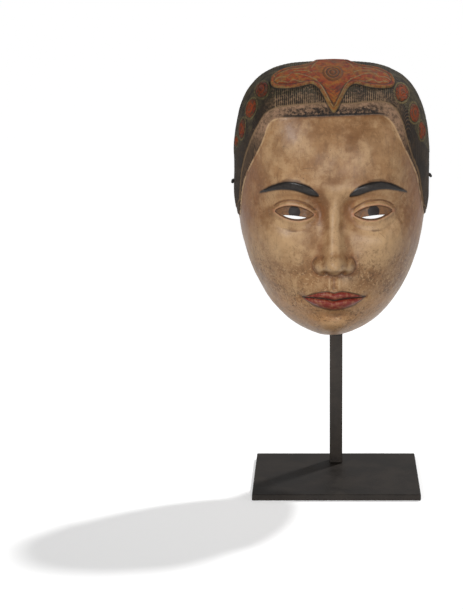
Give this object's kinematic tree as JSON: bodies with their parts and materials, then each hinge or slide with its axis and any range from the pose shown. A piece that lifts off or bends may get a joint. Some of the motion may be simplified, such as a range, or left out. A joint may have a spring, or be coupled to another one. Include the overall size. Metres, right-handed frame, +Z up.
{
  "type": "carved wooden dance mask on a display stand",
  "caption": "Hollow carved and painted wooden face mask with a raised diadem, held upright by a hooked cradle on a square post and a flat rectangular plate.",
  "frame": {"origin": "centre of the base plate's underside", "axes": "+Z up, the face looks along -Y, +X to the viewer's right"},
  "size_m": [0.1522, 0.1207, 0.3234],
  "materials": {
    "mask_paint": "worn matt paint over carved wood",
    "plate_steel": "dark brown patinated steel",
    "post_steel": "dark brown patinated steel",
    "cradle_steel": "black painted steel rod"
  },
  "bodies": {
    "root": {"mask": "mask_paint", "base_plate": "plate_steel", "post": "post_steel", "cradle": "cradle_steel"}
  },
  "joints": []
}
